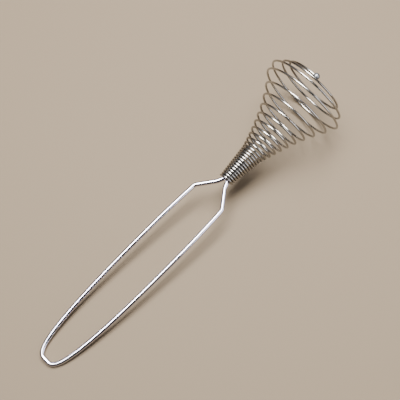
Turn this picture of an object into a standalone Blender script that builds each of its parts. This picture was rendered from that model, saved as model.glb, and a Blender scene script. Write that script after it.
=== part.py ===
"""Spiral whisk: a hairpin handle of thick wire, a conical coil of thinner wire and a bead on the coil's end.

It lies on a table, as it does on the counter. Metres, +Z up, +X from the handle's loop to the coil,
origin at the middle of the whisk's outline on the table.
"""

import math

import bmesh
import bpy
from mathutils import Matrix, Vector

HANDLE_WIRE = 0.0030  # thickness of the handle's wire
COIL_WIRE = 0.0014  # thickness of the coil's wire
FIT_GAP = 0.0003  # clearance left between pieces that touch

# The handle is a hairpin: a loop, two bowed sides, two shoulders and two legs side by side in the neck.
SIDE_LENGTH = 0.1401  # loop end to the knees, along the whisk
HANDLE_WIDTH = 0.0263  # between the sides where they are furthest apart
WIDEST_AT = 0.0984  # how far that is from the loop end
KNEE_WIDTH = 0.0241  # between the sides at the knees
LOOP_BLUNTNESS = 3.44  # 2 bends the loop as an ellipse, more makes its end squarer
SIDE_FULLNESS = 2.46  # the same for the sides' approach to the widest place
SHOULDER_LENGTH = 0.0114  # knees to the second bends
SHOULDER_WIDTH = 0.0068  # between the second bends
THROAT_LENGTH = 0.0040  # second bends to the third, past which the legs run parallel
LEG_LENGTH = 0.0160  # how far the legs reach into the neck
KNEE_RADIUS = 0.0040
SHOULDER_RADIUS = 0.0060
THROAT_RADIUS = 0.0025

# The coil: a close neck on the legs, a basket that opens with a growing pitch, a rim that closes in.
TURN_GAP = 0.00042  # between neighbouring turns of the neck
NECK_TURNS = 12.63
NECK_TAPER = 0.0027  # what the neck's radius gains from its first turn to its last
BASKET_TURNS = 10.3
BASKET_LENGTH = 0.0465
BASKET_RADIUS = 0.0280  # of the wire's centre where the rim begins
FLARE_START = 0.75  # slope of the basket's outline at the neck, 1 being straight to the rim
FLARE_END = 1.62  # the same at the rim
RIM_TURNS = 3.23
RIM_LENGTH = 0.0142
RIM_RADIUS = 0.0198  # of the wire's centre at the bead
RIM_PITCH = 0.0014  # at the bead
START_ANGLE = math.radians(306)  # of the coil's first end, from the top towards -Y
SAG_UP = 0.0030  # how far the rim's middle has moved off the handle's line, away from the table
SAG_ASIDE = 0.0032  # the same towards +Y
RIM_LEAN = math.radians(5.9)  # of the rim's turns from square to that line, their tops towards the handle

BEAD = 0.0043  # diameter of the bead on the coil's end
BEAD_SEAT = 0.0026  # how far the wire goes into it, straight

REST_FLAT = COIL_WIRE / 10  # depth of the small flats that the whisk lies on

NECK_POINTS = 10  # points a turn
BASKET_POINTS = 24
LOOP_POINTS = 22  # on each side, from the loop end to the widest place
BOW_POINTS = 8  # on each side, from there to the knee
BEND_POINTS = 5  # on each bend
BEAD_STEPS = 10  # along the bead's outline
BEAD_SIDES = 16  # round it
HALVINGS = 50  # of the range in which the lying tilt is looked for
WELD = 0.000001  # points closer than this are one
SHARP = math.radians(50)  # edges bent more than this are shaded as corners

LEG_OFFSET = (HANDLE_WIRE + FIT_GAP) / 2  # of a leg's centre from the handle's middle
SHOULDER_X = SIDE_LENGTH + SHOULDER_LENGTH
THROAT_X = SHOULDER_X + THROAT_LENGTH
THROAT_ANGLE = math.atan2(SHOULDER_WIDTH / 2 - LEG_OFFSET, THROAT_LENGTH)
THROAT_BEND = THROAT_RADIUS * math.tan(THROAT_ANGLE / 2)  # how far the bend runs along the legs
NECK_X = THROAT_X + THROAT_BEND  # the coil begins where the legs are parallel
LEG_END_X = NECK_X + LEG_LENGTH
NECK_PITCH = COIL_WIRE + TURN_GAP
NECK_LENGTH = NECK_TURNS * NECK_PITCH
# The neck's turns are drawn as polygons, and the flats of a polygon clear the legs.
NECK_REACH = LEG_OFFSET + HANDLE_WIRE / 2 + FIT_GAP + COIL_WIRE / 2
NECK_RADIUS = NECK_REACH / math.cos(math.pi / NECK_POINTS)
NECK_END_RADIUS = NECK_RADIUS + NECK_TAPER
BASKET_END = NECK_TURNS + BASKET_TURNS
COIL_TURNS = BASKET_END + RIM_TURNS
COIL_LENGTH = NECK_LENGTH + BASKET_LENGTH + RIM_LENGTH


def clear_scene():
    for obj in list(bpy.data.objects):
        bpy.data.objects.remove(obj, do_unlink=True)


def ease(x, start, end, start_slope, end_slope):
    """The cubic through start at 0 and end at 1 with those slopes."""
    rise = end - start
    return (
        start
        + start_slope * x
        + (3 * rise - 2 * start_slope - end_slope) * x**2
        + (start_slope + end_slope - 2 * rise) * x**3
    )


def neck_station(turn):
    """(height, radius) of the coil in the neck: an even pitch and a slight taper."""
    return turn * NECK_PITCH, NECK_RADIUS + NECK_TAPER * turn / NECK_TURNS


def basket_station(turn):
    """(height, radius) in the basket: the pitch grows evenly from the neck's, and the radius follows it."""
    share = (turn - NECK_TURNS) / BASKET_TURNS
    start_slope = NECK_PITCH * BASKET_TURNS / BASKET_LENGTH
    along = start_slope * share + (1 - start_slope) * share**2
    rise = BASKET_RADIUS - NECK_END_RADIUS
    radius = ease(along, NECK_END_RADIUS, BASKET_RADIUS, FLARE_START * rise, FLARE_END * rise)
    return NECK_LENGTH + BASKET_LENGTH * along, radius


def rim_station(turn):
    """(height, radius) in the rim: both go on as they leave the basket, then the turns close in."""
    share = (turn - BASKET_END) / RIM_TURNS
    end_pitch = 2 * BASKET_LENGTH / BASKET_TURNS - NECK_PITCH
    growth = FLARE_END * (BASKET_RADIUS - NECK_END_RADIUS) * end_pitch / BASKET_LENGTH
    start = NECK_LENGTH + BASKET_LENGTH
    height = ease(
        share, start, start + RIM_LENGTH, end_pitch * RIM_TURNS, RIM_PITCH * RIM_TURNS
    )
    radius = ease(share, BASKET_RADIUS, RIM_RADIUS, growth * RIM_TURNS, 0)
    return height, radius


def coil_station(turn):
    if turn <= NECK_TURNS:
        return neck_station(turn)
    if turn <= BASKET_END:
        return basket_station(turn)
    return rim_station(turn)


def open_share(height):
    """How far a height lies from the neck's end, at 0, to the bead, at 1."""
    return max(height - NECK_LENGTH, 0) / (COIL_LENGTH - NECK_LENGTH)


def coil_axis(height):
    """The middle of the coil at a height along it: past the neck it leaves the handle's line as a parabola."""
    share = open_share(height)
    return Vector((NECK_X + height, SAG_ASIDE * share**2, SAG_UP * share**2))


def coil_point(turn):
    """The wire's centre at a turn: a right-handed helix whose turns lean more and more towards the rim."""
    height, radius = coil_station(turn)
    angle = START_ANGLE + 2 * math.pi * turn
    lean = math.tan(RIM_LEAN) * open_share(height)
    outward = Vector((-lean * math.cos(angle), -math.sin(angle), math.cos(angle)))
    return coil_axis(height) + radius * outward.normalized()


def coil_direction(turn):
    step = 0.001
    near = min(max(turn, step), COIL_TURNS - step)
    return (coil_point(near + step) - coil_point(near - step)).normalized()


def coil_route():
    """(turn, point) along the coil's wire, with a straight end of one diameter at the neck and one in the bead."""
    neck_steps = round(NECK_TURNS * NECK_POINTS)
    open_turns = COIL_TURNS - NECK_TURNS
    open_steps = round(open_turns * BASKET_POINTS)
    turns = [NECK_TURNS * i / neck_steps for i in range(neck_steps)]
    turns += [NECK_TURNS + open_turns * i / open_steps for i in range(open_steps + 1)]
    first = coil_point(0) - COIL_WIRE * coil_direction(0)
    last = coil_point(COIL_TURNS) + BEAD_SEAT * coil_direction(COIL_TURNS)
    return [(0, first), *((turn, coil_point(turn)) for turn in turns), (COIL_TURNS, last)]


def least_turn_gap(route):
    """The least gap of the coil's wire to itself, measured between points over half a turn apart."""
    gaps = [
        (later - point).length - COIL_WIRE
        for i, (turn, point) in enumerate(route)
        for later_turn, later in route[i + 1 :]
        if later_turn - turn > 0.5
    ]
    return min(gaps)


def rounded(corners, radii):
    """The corners' path in a plane with each inner corner turned into an arc of its radius."""
    path = [corners[0]]
    for before, corner, after, radius in zip(corners, corners[1:], corners[2:], radii):
        inward = (before - corner).normalized()
        outward = (after - corner).normalized()
        half = inward.angle(outward) / 2
        centre = corner + (inward + outward).normalized() * radius / math.sin(half)
        start = corner + inward * radius / math.tan(half) - centre
        end = corner + outward * radius / math.tan(half) - centre
        sweep = start.angle(end)
        for i in range(BEND_POINTS + 1):
            share = i / BEND_POINTS
            weight = math.sin((1 - share) * sweep) * start + math.sin(share * sweep) * end
            path.append(centre + weight / math.sin(sweep))
    path.append(corners[-1])
    return path


def side_points():
    """One side of the hairpin, from the middle of the loop to its leg's end in the neck."""
    half_width = HANDLE_WIDTH / 2
    path = []
    for i in range(LOOP_POINTS):
        angle = math.pi / 2 * i / LOOP_POINTS
        x = WIDEST_AT * (1 - math.cos(angle) ** (2 / SIDE_FULLNESS))
        path.append(Vector((x, half_width * math.sin(angle) ** (2 / LOOP_BLUNTNESS), 0)))
    for i in range(BOW_POINTS):
        share = i / BOW_POINTS
        x = WIDEST_AT + (SIDE_LENGTH - WIDEST_AT) * share
        path.append(Vector((x, half_width + (KNEE_WIDTH / 2 - half_width) * share**2, 0)))
    bends = rounded(
        [
            path[-1],
            Vector((SIDE_LENGTH, KNEE_WIDTH / 2, 0)),
            Vector((SHOULDER_X, SHOULDER_WIDTH / 2, 0)),
            Vector((THROAT_X, LEG_OFFSET, 0)),
            Vector((LEG_END_X, LEG_OFFSET, 0)),
        ],
        [KNEE_RADIUS, SHOULDER_RADIUS, THROAT_RADIUS],
    )
    return path + bends[1:]


def handle_points():
    side = side_points()
    other = [Vector((p.x, -p.y, 0)) for p in reversed(side[1:])]
    return other + side


def lying_tilt(handle, coil):
    """The handle's rise from the table when both its loop and the coil's widest turn lie on it."""

    def lowest(points, angle):
        return min(p.x * math.sin(angle) + p.z * math.cos(angle) for p in points)

    low, high = 0, math.radians(45)
    for _ in range(HALVINGS):
        angle = (low + high) / 2
        drop = lowest(coil, angle) - COIL_WIRE / 2
        if drop < lowest(handle, angle) - HANDLE_WIRE / 2:
            low = angle
        else:
            high = angle
    return low


def steel(name, colour, roughness):
    material = bpy.data.materials.new(name)
    material.use_nodes = True
    shader = material.node_tree.nodes["Principled BSDF"]
    shader.inputs["Base Color"].default_value = (*colour, 1)
    shader.inputs["Metallic"].default_value = 1
    shader.inputs["Roughness"].default_value = roughness
    return material


def new_collection(name):
    collection = bpy.data.collections.new(name)
    bpy.context.scene.collection.children.link(collection)
    return collection


def new_empty(name, collection, parent=None, matrix=None):
    empty = bpy.data.objects.new(name, None)
    empty.empty_display_size = 0.02
    collection.objects.link(empty)
    empty.parent = parent
    empty.matrix_local = matrix or Matrix()
    return empty


def wire(name, points, thickness, resolution, material, collection, parent):
    """A round wire along the points, with flat ends, as a mesh that a Boolean can cut."""
    curve = bpy.data.curves.new(name, "CURVE")
    curve.dimensions = "3D"
    curve.bevel_depth = thickness / 2
    curve.bevel_resolution = resolution
    curve.use_fill_caps = True
    spline = curve.splines.new("POLY")
    spline.points.add(len(points) - 1)
    for target, point in zip(spline.points, points):
        target.co = (*point, 1)
    guide = bpy.data.objects.new(name + "_curve", curve)
    collection.objects.link(guide)
    graph = bpy.context.evaluated_depsgraph_get()
    mesh = bpy.data.meshes.new_from_object(guide.evaluated_get(graph))
    bpy.data.objects.remove(guide)
    bpy.data.curves.remove(curve)
    return mesh_object(name, mesh, material, collection, parent)


def mesh_object(name, mesh, material, collection, parent):
    weld(mesh)
    mesh.name = name
    mesh.shade_smooth()
    mesh.set_sharp_from_angle(angle=SHARP)
    mesh.materials.clear()
    mesh.materials.append(material)
    obj = bpy.data.objects.new(name, mesh)
    obj.parent = parent
    collection.objects.link(obj)
    return obj


def weld(mesh):
    shape = bmesh.new()
    shape.from_mesh(mesh)
    bmesh.ops.remove_doubles(shape, verts=shape.verts, dist=WELD)
    bmesh.ops.recalc_face_normals(shape, faces=shape.faces)
    shape.to_mesh(mesh)
    shape.free()


def bead_mesh():
    """Half the bead's outline, ready to turn: round outside, with a blind bore that starts at its origin."""
    outer = BEAD / 2
    bore = COIL_WIRE / 2 + FIT_GAP
    lip = bore + FIT_GAP / 2
    middle = math.sqrt(outer**2 - lip**2)
    last = math.pi - math.asin(lip / outer)
    angles = [last * i / BEAD_STEPS for i in range(BEAD_STEPS + 1)]
    outline = [(outer * math.sin(angle), middle + outer * math.cos(angle)) for angle in angles]
    depth = BEAD_SEAT + FIT_GAP
    outline += [(bore, 0), (bore, depth), (0, depth)]
    mesh = bpy.data.meshes.new("tip_bead")
    edges = [(i, i + 1) for i in range(len(outline) - 1)]
    mesh.from_pydata([(x, 0, z) for x, z in outline], edges, [])
    return mesh


def turned(obj):
    """Turns the object's outline about its own Z."""
    screw = obj.modifiers.new("turned", "SCREW")
    screw.axis = "Z"
    screw.steps = BEAD_SIDES
    screw.render_steps = BEAD_SIDES
    screw.use_merge_vertices = True
    screw.merge_threshold = WELD
    screw.use_smooth_shade = True


def facing(direction, origin):
    """The placement of something at origin whose own Z points in that direction."""
    return Matrix.Translation(origin) @ direction.to_track_quat("Z", "X").to_matrix().to_4x4()


def press_frame():
    """The rim's middle, facing along the handle's line: pressing the whisk moves the rim against this Z."""
    return facing(Vector((1, 0, 0)), coil_axis(COIL_LENGTH))


def tip_bead(material, collection, parent):
    """The bead on the coil's end, carried by the press axis."""
    direction = coil_direction(COIL_TURNS)
    obj = bpy.data.objects.new("tip_bead", bead_mesh())
    obj.data.materials.append(material)
    collection.objects.link(obj)
    turned(obj)
    obj.parent = parent
    obj.matrix_local = press_frame().inverted() @ facing(direction, coil_point(COIL_TURNS))
    return obj


def rest_cutter(collection, parent):
    """A slab under the table's plane, wider than the whisk."""
    reach = NECK_X + COIL_LENGTH + HANDLE_WIDTH
    bpy.ops.mesh.primitive_cube_add(size=1)
    slab = bpy.context.object
    slab.name = "rest_cutter"
    slab.scale = (2 * reach, 2 * reach, BASKET_RADIUS)
    slab.location = (reach / 2, 0, -BASKET_RADIUS / 2)
    slab.parent = parent
    slab.display_type = "WIRE"
    slab.hide_render = True
    for owner in list(slab.users_collection):
        owner.objects.unlink(slab)
    collection.objects.link(slab)
    return slab


def cut(obj, cutter):
    boolean = obj.modifiers.new("rest_flat", "BOOLEAN")
    boolean.operation = "DIFFERENCE"
    boolean.object = cutter


def outline_middle(objects):
    """The middle, in X and Y, of the objects' box in the world."""
    bpy.context.view_layer.update()
    graph = bpy.context.evaluated_depsgraph_get()
    corners = []
    for obj in objects:
        shown = obj.evaluated_get(graph)
        corners += [shown.matrix_world @ vertex.co for vertex in shown.data.vertices]
    middles = [
        (min(c[axis] for c in corners) + max(c[axis] for c in corners)) / 2 for axis in (0, 1)
    ]
    return Vector((*middles, 0))


def main():
    clear_scene()
    parts = new_collection("spiral_whisk")
    cutters = new_collection("cutters")
    handle = handle_points()
    route = coil_route()
    coil = [point for _, point in route]
    print(f"least gap between the coil's turns: {1000 * least_turn_gap(route):.2f} mm")

    tilt = lying_tilt(handle, coil)
    loop_z = min(p.x * math.sin(tilt) for p in handle) - HANDLE_WIRE / 2
    lift = Matrix.Translation((0, 0, -loop_z - REST_FLAT))
    table = new_empty("table_frame", parts)
    whisk = new_empty("whisk_axis", parts, table, lift @ Matrix.Rotation(-tilt, 4, "Y"))
    press = new_empty("press_axis", parts, whisk, press_frame())

    bright = steel("bright_steel_wire", (0.80, 0.80, 0.82), 0.15)
    spring = steel("coil_steel_wire", (0.70, 0.69, 0.68), 0.22)
    grey = steel("bead_steel", (0.62, 0.62, 0.62), 0.35)
    handle_wire = wire("handle_wire", handle, HANDLE_WIRE, 2, bright, parts, whisk)
    coil_wire = wire("coil_wire", coil, COIL_WIRE, 1, spring, parts, whisk)
    bead = tip_bead(grey, parts, press)

    slab = rest_cutter(cutters, table)
    cut(handle_wire, slab)
    cut(coil_wire, slab)
    table.location = -outline_middle([handle_wire, coil_wire, bead])


main()
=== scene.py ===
import math

import bpy
import numpy as np
from mathutils import Matrix, Vector


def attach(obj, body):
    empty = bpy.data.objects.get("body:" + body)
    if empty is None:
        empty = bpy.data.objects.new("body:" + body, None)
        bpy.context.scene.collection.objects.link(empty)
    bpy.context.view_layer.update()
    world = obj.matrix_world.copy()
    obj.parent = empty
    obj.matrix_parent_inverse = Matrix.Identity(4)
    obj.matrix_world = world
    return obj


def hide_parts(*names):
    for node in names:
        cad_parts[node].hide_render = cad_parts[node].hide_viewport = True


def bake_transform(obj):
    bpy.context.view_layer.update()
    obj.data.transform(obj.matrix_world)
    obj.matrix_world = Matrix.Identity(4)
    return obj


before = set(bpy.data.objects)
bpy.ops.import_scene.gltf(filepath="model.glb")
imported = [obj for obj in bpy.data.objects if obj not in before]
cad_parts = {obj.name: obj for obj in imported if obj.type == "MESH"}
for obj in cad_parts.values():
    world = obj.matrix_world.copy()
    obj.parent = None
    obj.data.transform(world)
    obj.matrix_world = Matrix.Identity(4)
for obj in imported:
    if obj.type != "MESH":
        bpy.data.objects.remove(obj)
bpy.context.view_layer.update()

# Spiral whisk, finished for its picture. Metres, Z up, +X from the handle's loop to the coil's
# open end. The whisk's own frame starts at the loop's end, in the middle of the handle's wire,
# and lying says how it rests on the table.
lying = {
    "loopEnd": (-0.12025810, -0.00195756, 0.00136),
    "rise": math.asin(0.111307),  # of the handle from the table
}

sharpAngle = math.radians(40)  # between two faces, past which their edge shows


def onTable(points):
    # Whisk frame to table frame: turned about Y by the rise, then moved to the loop's end.
    cosine, sine = math.cos(lying["rise"]), math.sin(lying["rise"])
    turn = np.array([[cosine, 0, -sine], [0, 1, 0], [sine, 0, cosine]])
    return points @ turn.T + np.array(lying["loopEnd"])


def unit(vectors):
    # Each row divided by its own length.
    return vectors / np.linalg.norm(vectors, axis=-1, keepdims=True)


def lengthAlong(path):
    # How far along the path each of its points is: the running sum of its steps.
    return np.concatenate([[0], np.cumsum(np.linalg.norm(np.diff(path, axis=0), axis=1))])


def evenly(path, step):
    # The same path with its points one step apart: each coordinate read off at even lengths.
    length = lengthAlong(path)
    at = np.linspace(0, length[-1], round(length[-1] / step) + 1)
    return np.stack([np.interp(at, length, path[:, k]) for k in range(path.shape[1])], axis=1)


def placed(name, data):
    # An object for that mesh, light or camera, put in the scene.
    thing = bpy.data.objects.new(name, data)
    bpy.context.scene.collection.objects.link(thing)
    return thing


def tubeMesh(name, points, length):
    # A grid of rings closed round into a tube and capped at both ends: point i, j of the grid is
    # number i * sides + j. Its map, wire, holds the length along the wire and the share round it.
    rings, sides = points.shape[:2]
    row, column = np.meshgrid(np.arange(rings - 1), np.arange(sides), indexing="ij")
    after = (column + 1) % sides
    quads = np.stack(
        [
            row * sides + column,
            row * sides + after,
            (row + 1) * sides + after,
            (row + 1) * sides + column,
        ],
        axis=-1,
    )
    firstRing = list(range(sides))
    lastRing = list(range((rings - 1) * sides, rings * sides))
    mesh = bpy.data.meshes.new(name)
    mesh.from_pydata(
        points.reshape(-1, 3), [], quads.reshape(-1, 4).tolist() + [firstRing[::-1], lastRing]
    )
    along = length[np.stack([row, row, row + 1, row + 1], axis=-1)].ravel()
    around = np.stack([column, column + 1, column + 1, column], axis=-1).ravel() / sides
    along = np.concatenate([along, np.repeat(length[[0, -1]], sides)])
    around = np.concatenate([around, np.tile(np.arange(sides) / sides, 2)])
    layer = mesh.uv_layers.new(name="wire")
    layer.data.foreach_set("uv", np.column_stack([along, around]).ravel())
    mesh.shade_smooth()
    mesh.set_sharp_from_angle(angle=sharpAngle)
    mesh.validate()
    return placed(name, mesh)


def painted(piece, name, values):
    # A number at each point that the piece's material reads.
    layer = piece.data.attributes.new(name, "FLOAT", "POINT")
    layer.data.foreach_set("value", np.asarray(values, np.float32).ravel())


def wireTube(path, outward, radius, squeeze, sides):
    # A round profile carried along the path: path + radius * (cos * first + sin * second), where
    # first is the way outward made square to the path and second is square to both. The wire is
    # thinner across by its squeeze and a third of that thicker the other way. Also returns the
    # way that each point faces.
    direction = unit(np.gradient(path, axis=0))
    first = unit(outward - (outward * direction).sum(1, keepdims=True) * direction)
    second = np.cross(direction, first)
    angle = 2 * math.pi * np.arange(sides) / sides
    across = (radius * (1 - squeeze))[:, None, None] * np.cos(angle)[None, :, None] * first[:, None]
    upright = (radius * (1 + squeeze / 3))[:, None, None] * np.sin(angle)[None, :, None]
    upright = upright * second[:, None]
    return path[:, None] + across + upright, unit(across + upright)


handle = {
    "thickness": 0.0030,
    "sideLength": 0.1401,  # loop end to the knees
    "width": 0.0263,
    "widestAt": 0.0984,
    "kneeWidth": 0.0241,
    "loopBluntness": 3.44,
    "sideFullness": 2.46,
    "shoulderLength": 0.0114,  # knees to the second bends
    "shoulderWidth": 0.0068,  # between the second bends
    "throat": 0.0040,  # second bends to the third
    "leg": 0.0160,  # inside the coil's neck
    "legOffset": 0.00165,
    "kneeRadius": 0.0040,
    "shoulderRadius": 0.0060,
    "throatRadius": 0.0025,
    "bendSqueeze": 0.00022,  # share that a bend thins the wire across, over its curvature
    "chamfer": 0.0004,  # at the legs' cut ends
    "paintedShadeFade": 0.0012,  # over which the wire gets painted shade, darker and duller, where the coil covers it
    "step": 0.0005,
    "sides": 24,
    "ovalPoints": 400,
    "bowPoints": 60,
    "kneePoints": 8,  # of the bow's, which the knee's bend takes the place of
    "bendPoints": 24,
    "smoothOver": 9,  # rings over which the bends' squeeze is evened out
}


def bentCorners(corners, radii, count):
    # Straight runs between corners, each inner corner an arc of its radius: centre plus the two
    # spokes weighted by sines, which keeps every point one radius away.
    runs = [corners[:1]]
    for before, corner, after, radius in zip(corners, corners[1:], corners[2:], radii):
        inward, outward = unit(before - corner), unit(after - corner)
        half = math.acos(float(inward @ outward)) / 2
        centre = corner + unit(inward + outward) * radius / math.sin(half)
        start = corner + inward * radius / math.tan(half) - centre
        end = corner + outward * radius / math.tan(half) - centre
        sweep = math.pi - 2 * half
        share = np.linspace(0, 1, count)[:, None]
        spokes = np.sin((1 - share) * sweep) * start + np.sin(share * sweep) * end
        runs.append(centre + spokes / math.sin(sweep))
    runs.append(corners[-1:])
    return np.concatenate(runs)


def bendPlaces(h):
    # How far along the handle its second and third bends are, and where the legs run parallel:
    # past the third bend by its radius times the tangent of half its angle.
    shoulderAt = h["sideLength"] + h["shoulderLength"]
    throatAt = shoulderAt + h["throat"]
    throatAngle = math.atan2(h["shoulderWidth"] / 2 - h["legOffset"], h["throat"])
    return shoulderAt, throatAt, throatAt + h["throatRadius"] * math.tan(throatAngle / 2)


def handleSide(h):
    # Half the hairpin: a blunt oval quarter to its widest place, a parabola in to the knee, then
    # straight runs with rounded bends through shoulder and throat to the leg's end.
    half = h["width"] / 2
    angle = np.linspace(0, math.pi / 2, h["ovalPoints"])
    oval = np.stack(
        [
            h["widestAt"] * (1 - np.cos(angle) ** (2 / h["sideFullness"])),
            half * np.sin(angle) ** (2 / h["loopBluntness"]),
        ],
        axis=1,
    )
    share = np.linspace(0, 1, h["bowPoints"])[1:]
    bow = np.stack(
        [
            h["widestAt"] + (h["sideLength"] - h["widestAt"]) * share,
            half + (h["kneeWidth"] / 2 - half) * share**2,
        ],
        axis=1,
    )
    shoulderAt, throatAt, legsAt = bendPlaces(h)
    corners = np.array(
        [
            bow[-h["kneePoints"]],
            bow[-1],
            (shoulderAt, h["shoulderWidth"] / 2),
            (throatAt, h["legOffset"]),
            (legsAt + h["leg"], h["legOffset"]),
        ]
    )
    radii = (h["kneeRadius"], h["shoulderRadius"], h["throatRadius"])
    bends = bentCorners(corners, radii, h["bendPoints"])
    return np.concatenate([oval, bow[: -h["kneePoints"]], bends])


def handleWire(h):
    # Both halves end to end and evenly spaced, with a round wire on them. It is squeezed by
    # bendSqueeze * curvature where it bends, and narrower by chamfer - distance at its cut ends.
    # Also returns where the coil's first turn sits: where the legs run parallel.
    side = handleSide(h)
    flat = evenly(np.concatenate([side[:0:-1] * (1, -1), side]), h["step"])
    path = np.column_stack([flat, np.zeros(len(flat))])
    direction = unit(np.gradient(path, axis=0))
    outward = np.column_stack([-direction[:, 1], direction[:, 0], np.zeros(len(path))])
    curvature = np.linalg.norm(np.gradient(direction, axis=0), axis=1) / h["step"]
    kernel = np.hanning(h["smoothOver"]) / np.hanning(h["smoothOver"]).sum()
    curvature = np.pad(curvature, h["smoothOver"] // 2, mode="edge")
    squeeze = h["bendSqueeze"] * np.convolve(curvature, kernel, mode="valid")
    fromEnd = h["step"] * np.minimum(np.arange(len(path)), np.arange(len(path))[::-1])
    radius = h["thickness"] / 2 - np.clip(h["chamfer"] - fromEnd, 0, None)
    points = onTable(wireTube(path, outward, radius, squeeze, h["sides"])[0])
    points[..., 2] = np.maximum(points[..., 2], 0)  # flat where it rests
    length = lengthAlong(path)
    piece = tubeMesh("handleWire", points, length)
    legsAt = bendPlaces(h)[-1]
    # painted shade on the legs inside the coil's neck, a share from 0 to 1
    paintedShadeUnderCoil = np.clip((path[:, 0] - legsAt) / h["paintedShadeFade"], 0, 1)
    painted(piece, "paintedShadeUnderCoil", np.repeat(paintedShadeUnderCoil, h["sides"]))
    print(f"handle wire: {len(path)} rings, {length[-1] * 1000:.0f} mm long")
    return piece, legsAt


coil = {
    "thickness": 0.0014,
    "neckTurns": 12.63,
    "neckPitch": 0.00182,
    "neckRadius": 0.00426,  # of the wire's middle at the first turn
    "neckEndRadius": 0.00698,
    "basketTurns": 10.3,
    "basketLength": 0.0465,
    "basketRadius": 0.0279,
    "flare": (0.75, 1.62),  # slope of the outline at the neck and at the rim
    "rimTurns": 3.23,
    "rimLength": 0.0142,
    "rimRadius": 0.0197,
    "rimPitch": 0.0014,
    "startAngle": math.radians(306),
    "sag": (0.0032, 0.0030),  # of the rim's middle off the handle's line, aside and up
    "rimLean": math.radians(5.9),
    "intoBead": 0.0026,  # straight
    "chamfer": 0.0002,
    "grooveGap": 0.0030,  # between two turns, past which the grooves get no painted shade
    "leadShares": (1, 0.9, 0.8, 0.5),  # rings before the first turn, in thicknesses
    "tailShares": (0.25, 0.5, 0.75, 1),  # rings past the last turn, as shares of intoBead
    "stepsPerTurn": 96,
    "sides": 14,
}
coil["neckLength"] = coil["neckTurns"] * coil["neckPitch"]


def eased(x, start, end, startSlope, endSlope):
    # The cubic through start at 0 and end at 1 with those slopes.
    rise = end - start
    square = 3 * rise - 2 * startSlope - endSlope
    cube = startSlope + endSlope - 2 * rise
    return start + startSlope * x + square * x**2 + cube * x**3


def coilStations(turn, c):
    # Height and radius at each turn: even pitch in the neck, a pitch that grows evenly in the
    # basket with the radius a cubic of the height, and two cubics of the turn in the rim.
    basketEnd = c["neckTurns"] + c["basketTurns"]
    share = np.clip((turn - c["neckTurns"]) / c["basketTurns"], 0, 1)
    startSlope = c["neckPitch"] * c["basketTurns"] / c["basketLength"]
    climbed = startSlope * share + (1 - startSlope) * share**2
    widening = c["basketRadius"] - c["neckEndRadius"]
    slopes = [widening * s for s in c["flare"]]
    basketHeight = c["neckLength"] + c["basketLength"] * climbed
    basketRadius = eased(climbed, c["neckEndRadius"], c["basketRadius"], *slopes)
    endPitch = 2 * c["basketLength"] / c["basketTurns"] - c["neckPitch"]
    growth = slopes[1] * endPitch / c["basketLength"]
    rim = (turn - basketEnd) / c["rimTurns"]
    rimStart = c["neckLength"] + c["basketLength"]
    rimSlopes = (endPitch * c["rimTurns"], c["rimPitch"] * c["rimTurns"])
    rimHeight = eased(rim, rimStart, rimStart + c["rimLength"], *rimSlopes)
    rimRadius = eased(rim, c["basketRadius"], c["rimRadius"], growth * c["rimTurns"], 0)
    neckShare = turn / c["neckTurns"]
    neckRadius = c["neckRadius"] + (c["neckEndRadius"] - c["neckRadius"]) * neckShare
    inNeck, inBasket = turn <= c["neckTurns"], turn <= basketEnd
    height = np.where(inNeck, turn * c["neckPitch"], np.where(inBasket, basketHeight, rimHeight))
    radius = np.where(inNeck, neckRadius, np.where(inBasket, basketRadius, rimRadius))
    return height, radius


def axisPoints(height, c, startX):
    # The coil's own axis: the handle's line, left by sag * share^2, with share 0 at the neck's
    # end and 1 at the bead. Also returns the share.
    share = np.maximum(height - c["neckLength"], 0) / (c["basketLength"] + c["rimLength"])
    aside, up = c["sag"]
    return np.stack([startX + height, aside * share**2, up * share**2], axis=-1), share


def coilLine(turn, c, startX):
    # A right-handed helix round that axis, its turns leaning by the rim's lean times the share.
    # Returns the wire's middle, the way out from the axis and the way square to the turn.
    height, radius = coilStations(turn, c)
    middle, share = axisPoints(height, c, startX)
    angle = c["startAngle"] + 2 * math.pi * turn
    lean = math.tan(c["rimLean"]) * share
    out = unit(np.stack([-lean * np.cos(angle), -np.sin(angle), np.cos(angle)], axis=-1))
    along = unit(np.stack([np.ones_like(lean), np.zeros_like(lean), lean], axis=-1))
    return middle + radius[:, None] * out, out, along


def extended(values, before, after):
    # The same rows with the first one repeated before them and the last one after them.
    first, last = np.repeat(values[:1], before, 0), np.repeat(values[-1:], after, 0)
    return np.concatenate([first, values, last])


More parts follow.
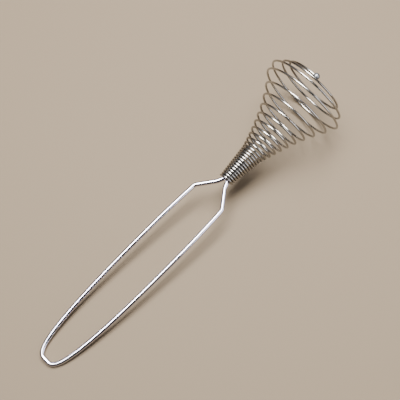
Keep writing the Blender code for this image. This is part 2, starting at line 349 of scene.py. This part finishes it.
def coilWire(c, startX):
    # The line above with a round wire on it, straight at each end. Painted groove shade is where
    # the next turn is close, times the square of how far the surface faces along the coil plus how
    # far it faces the axis. Also returns where the wire enters the bead, and which way.
    turns = c["neckTurns"] + c["basketTurns"] + c["rimTurns"]
    turn = np.linspace(0, turns, round(turns * c["stepsPerTurn"]) + 1)
    path, out, along = coilLine(turn, c, startX)
    firstWay, lastWay = unit(path[0] - path[1]), unit(path[-1] - path[-2])
    lead = c["thickness"] * np.array(c["leadShares"])[:, None]
    tail = c["intoBead"] * np.array(c["tailShares"])[:, None]
    path = np.concatenate([path[0] + lead * firstWay, path, path[-1] + tail * lastWay])
    out, along = (extended(way, len(lead), len(tail)) for way in (out, along))
    radius = np.full(len(path), c["thickness"] / 2)
    radius[0] -= c["chamfer"]
    points, facing = wireTube(path, out, radius, np.zeros(len(path)), c["sides"])
    gap = np.gradient(coilStations(turn, c)[0]) / np.gradient(turn) - c["thickness"]
    closeness = np.clip(1 - gap / c["grooveGap"], 0, 1)
    closeness = extended(closeness, len(lead), len(tail))
    sideways = np.abs((facing * along[:, None]).sum(-1))
    inward = np.clip(-(facing * out[:, None]).sum(-1), 0, 1)
    points = onTable(points)
    points[..., 2] = np.maximum(points[..., 2], 0)  # flat where it rests
    length = lengthAlong(path)
    piece = tubeMesh("coilWire", points, length)
    # painted shade: darker between close turns and where the wire faces the coil's axis
    painted(piece, "paintedGrooveShade", closeness[:, None] * np.clip(sideways**2 + inward, 0, 1))
    print(f"coil wire: {turns:.2f} turns, {length[-1] * 1000:.0f} mm long")
    mouth, tip = onTable(path[-1 - len(tail)]), onTable(path[-1])
    return piece, mouth, unit(tip - mouth)


bead = {
    "diameter": 0.0043,
    "length": 1.02,  # along the wire, as a share of the diameter
    "tipFlat": 0.00035,  # radius of the flat worn on its far end
    "lipRadius": 0.00078,  # where it closes on the wire
    "lipWidth": 0.00012,  # out from that radius to the ball
    "lipRings": ((0.00006, -0.00006), (-0.00010, 0.00004)),  # out from it, and towards the bead
    "rings": 40,
    "sides": 48,
}


def tipBead(b, mouth, way):
    # A profile turned about the wire: radius times the sine of the polar angle, the far pole
    # cut to a small flat and the near end closed on the wire by a short lip.
    outer = b["diameter"] / 2
    last = math.pi - math.asin((b["lipRadius"] + b["lipWidth"]) / outer)
    first = math.asin(b["tipFlat"] / outer)
    polar = np.linspace(first, last, b["rings"])
    reach = outer * b["length"]
    middle = -outer * math.cos(last)
    lipOut, lipHeight = np.array(b["lipRings"]).T
    radius = np.concatenate([outer * np.sin(polar), b["lipRadius"] + lipOut])[::-1]
    height = np.concatenate([middle + reach * np.cos(polar), lipHeight])[::-1]
    side = unit(np.cross(way, (0, 0, 1.0)))
    other = np.cross(way, side)
    angle = 2 * math.pi * np.arange(b["sides"]) / b["sides"]
    ring = np.cos(angle)[:, None] * side + np.sin(angle)[:, None] * other
    points = mouth + height[:, None, None] * way + radius[:, None, None] * ring
    print(f"bead: {b['diameter'] * 1000:.1f} mm")
    return tubeMesh("tipBead", points, height)


class Flow:
    # One output of a material's node. Sums and products of flows and numbers become Math nodes.
    def __init__(self, tree, socket=None):
        self.tree = tree
        self.socket = socket

    def node(self, kind, settings=None, sockets=None, out=0):
        # A new node with those settings, and with flows or plain values at its sockets.
        made = self.tree.nodes.new(kind)
        for name, value in (settings or {}).items():
            setattr(made, name, value)
        for name, value in (sockets or {}).items():
            if isinstance(value, Flow):
                self.tree.links.new(value.socket, made.inputs[name])
            else:
                made.inputs[name].default_value = value
        return Flow(self.tree, made.outputs[out])

    def output(self, out):
        # Another output of the same node.
        return Flow(self.tree, self.socket.node.outputs[out])

    def maths(self, operation, *values):
        # A Math node on those flows and numbers, in that order.
        return self.node("ShaderNodeMath", {"operation": operation}, dict(enumerate(values)))

    def __add__(self, other):
        return self.maths("ADD", self, other)

    __radd__ = __add__

    def __mul__(self, other):
        return self.maths("MULTIPLY", self, other)

    __rmul__ = __mul__

    def noise(self, scale, detail):
        # Noise at this place, with its scale per metre.
        sockets = {"Vector": self, "Scale": scale, "Detail": detail}
        return self.node("ShaderNodeTexNoise", None, sockets)

    def between(self, low, high):
        # 0 below low, 1 above high, smooth in between.
        return self.node(
            "ShaderNodeMapRange",
            {"interpolation_type": "SMOOTHSTEP"},
            {"Value": self, "From Min": low, "From Max": high},
        )

    def mixed(self, below, above):
        # From one colour at 0 to another at 1; a Mix node takes colours at its sockets 6 and 7.
        shades = [v if isinstance(v, Flow) else (*v, 1) for v in (below, above)]
        sockets = {0: self, 6: shades[0], 7: shades[1]}
        return self.node("ShaderNodeMix", {"data_type": "RGBA"}, sockets, 2)

    def bump(self, strength, distance):
        # The normal tilted by this height, which is distance deep.
        sockets = {"Strength": strength, "Distance": distance, "Height": self}
        return self.node("ShaderNodeBump", None, sockets)


def newMaterial(name):
    # An empty material, the start of its flows and its shader.
    material = bpy.data.materials.new(name)
    material.use_nodes = True
    tree = material.node_tree
    return material, Flow(tree), tree.nodes["Principled BSDF"]


def feed(shader, **links):
    # Joins flows and plain values to the shader's sockets.
    for name, value in links.items():
        socket = shader.inputs[name.replace("_", " ")]
        if isinstance(value, Flow):
            value.tree.links.new(value.socket, socket)
        else:
            socket.default_value = value


brightWireLook = {
    "silver": (0.60, 0.585, 0.67),
    "violet": (0.51, 0.49, 0.60),
    "rubbed": (0.67, 0.66, 0.72),
    "roughness": 0.12,
    "streakRoughness": 0.02,
    "smudgeRoughness": 0.04,
    "dieLines": 11.0,  # streaks round the wire
    "relief": 0.0000005,  # depth of the streaks and nicks
    "paintedShadeOn": "paintedShadeUnderCoil",  # painted shade where the coil hides the legs
    # colour and roughness of the painted shade on the hidden legs
    "paintedShade": (0.05, 0.045, 0.04),
    "paintedShadeRoughness": 0.45,
}

springWireLook = {
    "silver": (0.36, 0.35, 0.33),
    "violet": (0.28, 0.27, 0.25),
    "rubbed": (0.46, 0.45, 0.43),
    "roughness": 0.16,
    "streakRoughness": 0.06,
    "smudgeRoughness": 0.06,
    "dieLines": 9.0,
    "relief": 0.000003,
    "paintedShadeOn": "paintedGrooveShade",  # painted shade between turns that lie close and on the side facing the axis
    # colour and roughness of the painted shade in the grooves
    "paintedShade": (0.10, 0.085, 0.07),
    "paintedShadeRoughness": 0.20,
}

drawnFinish = {
    # the same on both wires; each noise has its scale per metre and its detail
    "streakPerMetre": 12.0,  # how fast the die lines change along the wire
    "streakDetail": 4.0,
    "smudges": (95.0, 3.0),
    "tint": (28.0, 1.0),
    "nicks": (1400.0, 2.0),
    # the noise's values between which each of these sets in
    "violetFrom": (0.38, 0.66),
    "rubbedFrom": (0.52, 0.70),
    "smudgeFrom": (0.50, 0.72),
    "nickFrom": (0.66, 0.78),
    "rubbedShare": 0.6,  # at most
    # how far the painted shade darkens the wire, at most
    "paintedShadeShare": 0.85,
    "streakHeight": 0.7,
    "nickHeight": -0.2,
    "bumpStrength": 0.5,
}


def wireSteel(name, look, finish):
    # Drawn wire: streaks that run its length are noise on (cos, sin, streakPerMetre * length) of
    # the wire's own map, so they meet round the back; smudges, tint and nicks are noise in space;
    # the painted attribute is painted shade, which darkens and dulls the wire.
    material, flow, shader = newMaterial(name)
    wire = flow.node("ShaderNodeUVMap", {"uv_map": "wire"})
    length = flow.node("ShaderNodeSeparateXYZ", None, {"Vector": wire})
    angle = length.output("Y") * (2 * math.pi)
    lines = flow.node(
        "ShaderNodeCombineXYZ",
        None,
        {
            "X": flow.maths("COSINE", angle),
            "Y": flow.maths("SINE", angle),
            "Z": length * finish["streakPerMetre"],
        },
    )
    streaks = lines.noise(look["dieLines"], finish["streakDetail"])
    place = flow.node("ShaderNodeTexCoord", out="Object")
    smudges = place.noise(*finish["smudges"]).between(*finish["smudgeFrom"])
    tint = place.noise(*finish["tint"]).between(*finish["violetFrom"])
    nicks = place.noise(*finish["nicks"]).between(*finish["nickFrom"])
    rubbed = streaks.between(*finish["rubbedFrom"]) * finish["rubbedShare"]
    # painted shade: the attribute marks where the wire is darkened and dulled as if in shade
    paintedShade = flow.node("ShaderNodeAttribute", {"attribute_name": look["paintedShadeOn"]}, out="Fac")
    colour = rubbed.mixed(tint.mixed(look["silver"], look["violet"]), look["rubbed"])
    colour = (paintedShade * finish["paintedShadeShare"]).mixed(colour, look["paintedShade"])
    rough = look["roughness"] + streaks * look["streakRoughness"]
    rough = rough + smudges * look["smudgeRoughness"] + paintedShade * look["paintedShadeRoughness"]
    height = streaks * finish["streakHeight"] + nicks * finish["nickHeight"]
    bump = height.bump(finish["bumpStrength"], look["relief"])
    feed(shader, Base_Color=colour, Metallic=1.0, Roughness=rough, Normal=bump)
    return material


groundBeadLook = {
    "grain": (2600.0, 3.0),  # scale per metre and detail of its noise
    "patches": (700.0, 2.0),
    "rubbedFrom": (0.35, 0.65),  # values of the patches' noise
    "steel": (0.15, 0.155, 0.165),
    "rubbed": (0.21, 0.22, 0.235),
    "roughness": 0.36,
    "grainRoughness": 0.16,
    "relief": 0.00004,
    "bumpStrength": 0.35,
}


def beadSteel(look):
    # Ground steel: fine noise round the bead, a little lighter in patches where it is rubbed.
    material, flow, shader = newMaterial("groundBeadSteel")
    place = flow.node("ShaderNodeTexCoord", out="Object")
    grain = place.noise(*look["grain"])
    patches = place.noise(*look["patches"])
    colour = patches.between(*look["rubbedFrom"]).mixed(look["steel"], look["rubbed"])
    rough = look["roughness"] + grain * look["grainRoughness"]
    bump = (grain + patches).bump(look["bumpStrength"], look["relief"])
    feed(shader, Base_Color=colour, Metallic=1.0, Roughness=rough, Normal=bump)
    return material


handlePiece, coilStart = handleWire(handle)
handlePiece.data.materials.append(wireSteel("polishedHandleSteel", brightWireLook, drawnFinish))
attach(handlePiece, "whisk")
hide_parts("handle_wire")

coilPiece, coilEnd, coilWay = coilWire(coil, coilStart)
coilPiece.data.materials.append(wireSteel("springCoilSteel", springWireLook, drawnFinish))
# where the coil's axis is at its neck's end and at its last turn
lastTurn = coil["neckLength"] + coil["basketLength"] + coil["rimLength"] - coil["rimPitch"]
openEnds = np.array([coil["neckLength"], lastTurn])
neckEnd, rimEnd = onTable(axisPoints(openEnds, coil, coilStart)[0])
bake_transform(coilPiece)
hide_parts("coil_wire")

beadPiece = tipBead(bead, coilEnd, coilWay)
beadPiece.data.materials.append(beadSteel(groundBeadLook))
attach(beadPiece, "coil_end")
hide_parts("tip_bead")
print("pieces ride on their bodies")

table = {
    "reach": 3.0,  # from the middle to each side
    "colour": (0.119, 0.086, 0.051),
    "cloud": (6.0, 3.0),  # scale per metre and detail of its noise
    "cloudShade": 0.97,  # of the colour, at the most
    "roughness": 0.75,
}


def paleFloor(t):
    # One wide square at the height the whisk lies on, matt, with a breath of unevenness.
    mesh = bpy.data.meshes.new("tableTop")
    corners = np.array([[-1, -1, 0], [1, -1, 0], [1, 1, 0], [-1, 1, 0]]) * t["reach"]
    mesh.from_pydata(corners, [], [(0, 1, 2, 3)])
    floor = placed("tableTop", mesh)
    material, flow, shader = newMaterial("paleTable")
    cloud = flow.node("ShaderNodeTexCoord", out="Object").noise(*t["cloud"])
    colour = cloud.mixed(t["colour"], tuple(t["cloudShade"] * v for v in t["colour"]))
    feed(shader, Base_Color=colour, Roughness=t["roughness"])
    mesh.materials.append(material)


lamps = {
    # name: place, size along the whisk and across, power, colour; each faces the whisk
    "key": ((0.20, 0.23, 1.00), (1.10, 0.48), 62.0, (1.0, 0.99, 0.98)),
    "softbox": ((0.20, 0.40, 1.00), (1.40, 0.50), 5.0, (1.0, 0.99, 0.98)),
    "leftPanel": ((0.0, 0.85, 0.65), (1.60, 0.60), 0.8, (0.93, 0.93, 1.0)),
    "rightPanel": ((0.21, -0.40, 0.28), (0.40, 0.50), 2.4, (0.95, 0.95, 1.0)),
}

surround = {"colour": (0.84, 0.84, 0.95), "strength": 0.06}


def studioLight(s):
    # Soft oblong lamps aimed at the table's middle, each with its long side along the whisk: X
    # made square to the line back from the aim. And a dim even surround.
    for name, (place, size, power, colour) in lamps.items():
        light = bpy.data.lights.new(name, "AREA")
        light.shape = "RECTANGLE"
        light.size, light.size_y = size
        light.energy = power
        light.color = colour
        back = Vector(place).normalized()
        along = (Vector((1, 0, 0)) - back.x * back).normalized()
        turned = Matrix((along, back.cross(along), back)).transposed()
        lamp = placed(name, light)
        lamp.location = place
        lamp.rotation_mode = "QUATERNION"
        lamp.rotation_quaternion = turned.to_quaternion()
    world = bpy.data.worlds.new("studio")
    bpy.context.scene.world = world
    world.use_nodes = True
    background = world.node_tree.nodes["Background"]
    background.inputs["Color"].default_value = (*s["colour"], 1)
    background.inputs["Strength"].default_value = s["strength"]


camera = {
    "aim": (0.018547, 0.004804, 0.0),  # on the table, at the picture's middle
    "distance": 0.57930,
    "elevation": math.radians(69.997),
    "heading": math.radians(45.274),  # from the picture's right to the whisk
    "focal": 900 / 400,  # in widths of the picture
    "sensor": 36.0,
    "clip": (0.01, 20.0),
}


def photoCamera(c):
    # Back from the aim by the distance, along the line that rises by the elevation.
    level = -math.cos(c["elevation"])
    back = Vector(
        (level * math.sin(c["heading"]), level * math.cos(c["heading"]), math.sin(c["elevation"]))
    )
    data = bpy.data.cameras.new("photoCamera")
    data.sensor_width = c["sensor"]
    data.lens = c["sensor"] * c["focal"]
    data.clip_start, data.clip_end = c["clip"]
    eye = placed("photoCamera", data)
    eye.location = Vector(c["aim"]) + back * c["distance"]
    eye.rotation_mode = "QUATERNION"
    eye.rotation_quaternion = back.to_track_quat("Z", "Y")
    bpy.context.scene.camera = eye


paleFloor(table)
studioLight(surround)
photoCamera(camera)
print("table, light and camera are set")
